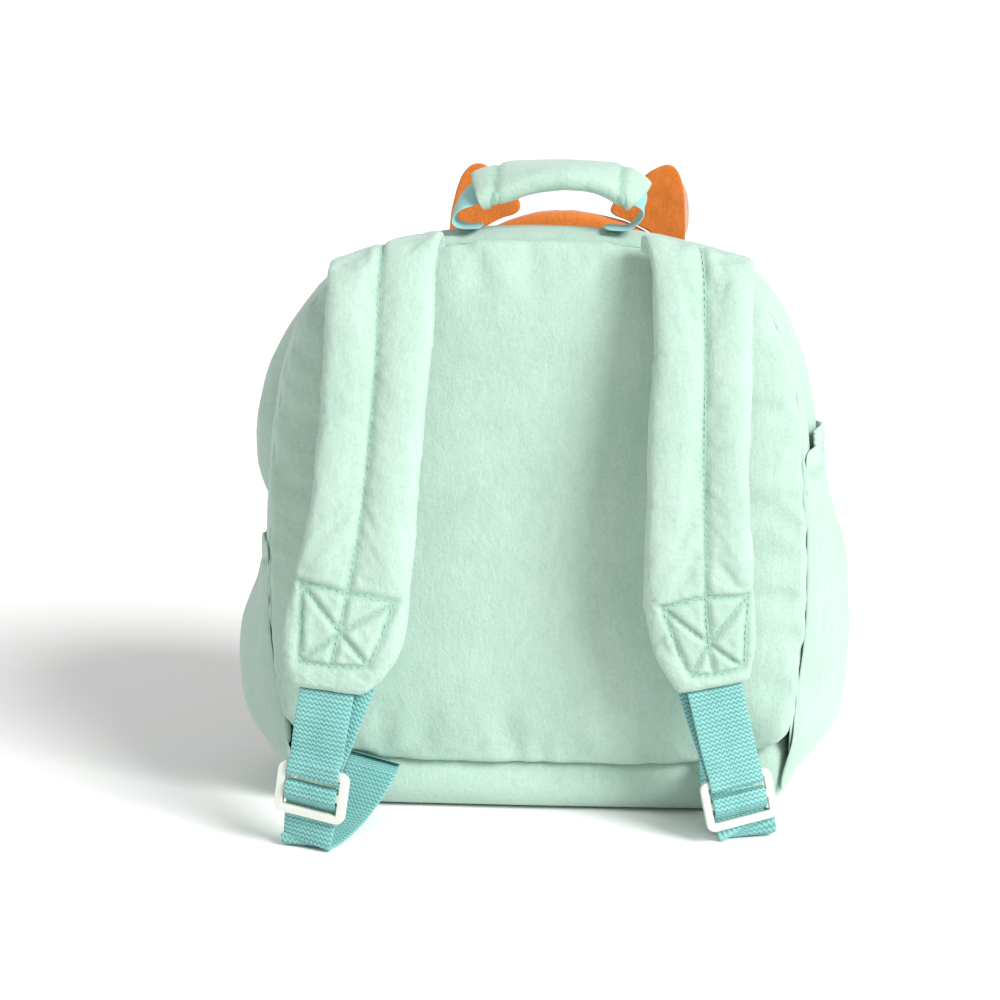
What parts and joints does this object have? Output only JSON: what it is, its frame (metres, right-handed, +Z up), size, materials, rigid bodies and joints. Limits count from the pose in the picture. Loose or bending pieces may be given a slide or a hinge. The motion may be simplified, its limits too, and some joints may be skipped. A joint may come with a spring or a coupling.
{
  "type": "children's plush backpack",
  "caption": "Plush children's backpack with an animal head on its front, padded shoulder straps with tri-glide adjusters, a carry handle and gathered side pockets.",
  "frame": {"origin": "on the flat underside of the base, below the middle of the bag's body", "axes": "+Z up from the base to the carry handle, +Y the way the animal face looks, -Y towards the wearer and the shoulder straps, +X to the wearer's right"},
  "size_m": [0.2939, 0.2379, 0.3056],
  "materials": {
    "mint_plush": "short soft plush",
    "orange_plush": "short soft plush",
    "cream_plush": "short soft plush",
    "teal_webbing": "ribbed polypropylene webbing",
    "zipper_tape": "woven tape",
    "zipper_plastic": "moulded",
    "adjuster_plastic": "moulded, satin",
    "dark_trim": "satin"
  },
  "bodies": {
    "root": {"rear_gusset": "mint_plush", "front_gusset": "mint_plush", "back_panel": "mint_plush", "front_panel": "mint_plush", "base_panel": "mint_plush", "side_pocket_left": "mint_plush", "side_pocket_right": "mint_plush", "shoulder_pad_left": "mint_plush", "shoulder_pad_right": "mint_plush", "handle_sleeve": "mint_plush", "zipper_tape": "zipper_tape", "zipper_teeth": "zipper_plastic", "zipper_slider": "zipper_plastic", "zipper_pull": "zipper_plastic", "upper_webbing_left": "teal_webbing", "upper_webbing_right": "teal_webbing", "lower_webbing_left": "teal_webbing", "lower_webbing_right": "teal_webbing", "handle_webbing": "teal_webbing", "tri_glide_left": "adjuster_plastic", "tri_glide_right": "adjuster_plastic", "head": "orange_plush", "ear_left": "orange_plush", "ear_right": "orange_plush", "inner_ear_left": "cream_plush", "inner_ear_right": "cream_plush", "muzzle": "cream_plush", "nose": "dark_trim", "eye_left": "dark_trim", "eye_right": "dark_trim"}
  },
  "joints": []
}
